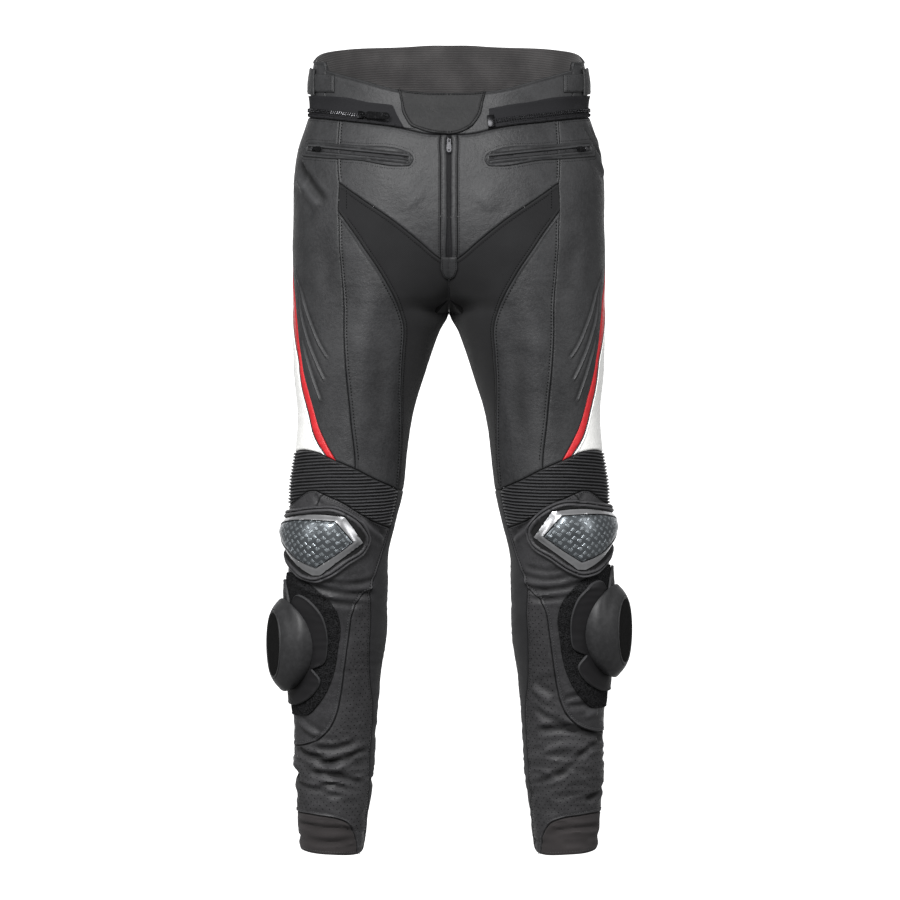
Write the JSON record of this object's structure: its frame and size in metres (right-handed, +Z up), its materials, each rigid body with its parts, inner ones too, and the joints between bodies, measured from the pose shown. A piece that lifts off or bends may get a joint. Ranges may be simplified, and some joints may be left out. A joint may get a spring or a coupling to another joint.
{
  "type": "leather motorcycle trousers",
  "caption": "Worn-form leather motorcycle trousers with side stripes, ribbed stretch above the knees, hard knee cups, knee sliders and zips.",
  "frame": {"origin": "middle of the waist opening at the height of the front waist zip, where the wearer holds the garment", "axes": "+Z up, -Y the garment's front, +X the wearer's left"},
  "size_m": [0.4708, 0.2605, 1.0528],
  "materials": {
    "black_leather": "satin black cowhide, fine grain",
    "white_leather": "smooth off-white leather",
    "red_leather": "smooth red leather",
    "stretch_cloth": "matt black woven stretch cloth",
    "ribbed_lining": "dark woven cloth with fine ribs",
    "loop_fastener": "black loop pile of a hook-and-loop patch",
    "black_zip": "black coil zip with black slider",
    "silver_frame": "satin silver metal",
    "gunmetal_shell": "dark gunmetal with raised relief",
    "hard_black_plastic": "satin black moulded plastic",
    "soft_black_plastic": "matt black moulded plastic"
  },
  "bodies": {
    "trousers": {"waistband_front_R": "black_leather", "waistband_front_L": "black_leather", "fly_placket_R": "black_leather", "fly_placket_L": "black_leather", "front_hip_R": "black_leather", "front_hip_L": "black_leather", "stretch_gusset_R": "stretch_cloth", "stretch_gusset_L": "stretch_cloth", "front_thigh_R": "black_leather", "front_thigh_L": "black_leather", "side_thigh_R": "black_leather", "side_thigh_L": "black_leather", "red_stripe_R": "red_leather", "red_stripe_L": "red_leather", "side_panel_R": "white_leather", "side_panel_L": "white_leather", "accordion_R": "black_leather", "accordion_L": "black_leather", "knee_panel_R": "black_leather", "knee_panel_L": "black_leather", "calf_R": "black_leather", "calf_L": "black_leather", "cuff_R": "stretch_cloth", "cuff_L": "stretch_cloth", "inner_leg_R": "stretch_cloth", "inner_leg_L": "stretch_cloth", "back_thigh_R": "black_leather", "back_thigh_L": "black_leather", "adjuster_strap_R": "black_leather", "adjuster_strap_L": "black_leather", "adjuster_loop_R": "black_leather", "adjuster_loop_L": "black_leather", "pocket_welt_R": "black_leather", "pocket_welt_L": "black_leather", "pocket_zip_R": "black_zip", "pocket_zip_L": "black_zip", "knee_bolster_R": "black_leather", "knee_bolster_L": "black_leather", "cup_frame_R": "silver_frame", "cup_frame_L": "silver_frame", "cup_shell_R": "gunmetal_shell", "cup_shell_L": "gunmetal_shell", "velcro_R": "loop_fastener", "velcro_L": "loop_fastener", "slider_base_R": "soft_black_plastic", "slider_base_L": "soft_black_plastic", "slider_puck_R": "hard_black_plastic", "slider_puck_L": "hard_black_plastic", "waistband_back": "black_leather", "back_yoke": "black_leather", "waist_lining": "ribbed_lining", "closure_tab": "black_leather", "link_zip_tape": "black_zip", "link_zip_chain": "black_zip", "fly_zip": "black_zip", "fly_end_tab": "black_leather"},
    "fly_pull": {"fly_pull": "black_zip"},
    "link_zip_pull": {"link_zip_pull": "black_zip"},
    "pocket_pull_R": {"pocket_pull_R": "black_zip"},
    "pocket_pull_L": {"pocket_pull_L": "black_zip"}
  },
  "joints": [
    {"name": "fly_pull_swing", "type": "hinge", "parent": "trousers", "child": "fly_pull", "pos_m": [0, -0.11216, -0.04928], "axis": [-1, -0.0007, 0.0001], "range_deg": [0, 150]},
    {"name": "link_zip_pull_swing", "type": "hinge", "parent": "trousers", "child": "link_zip_pull", "pos_m": [-0.10913, -0.09815, -0.01651], "axis": [-0.1969, -0.2208, -0.9552], "range_deg": [0, 150]},
    {"name": "pocket_pull_R_swing", "type": "hinge", "parent": "trousers", "child": "pocket_pull_R", "pos_m": [-0.17249, -0.06677, -0.05609], "axis": [-0.2086, -0.0499, -0.9767], "range_deg": [0, 150]},
    {"name": "pocket_pull_L_swing", "type": "hinge", "parent": "trousers", "child": "pocket_pull_L", "pos_m": [0.17249, -0.06677, -0.05609], "axis": [-0.2086, 0.0499, 0.9767], "range_deg": [0, 150]}
  ]
}
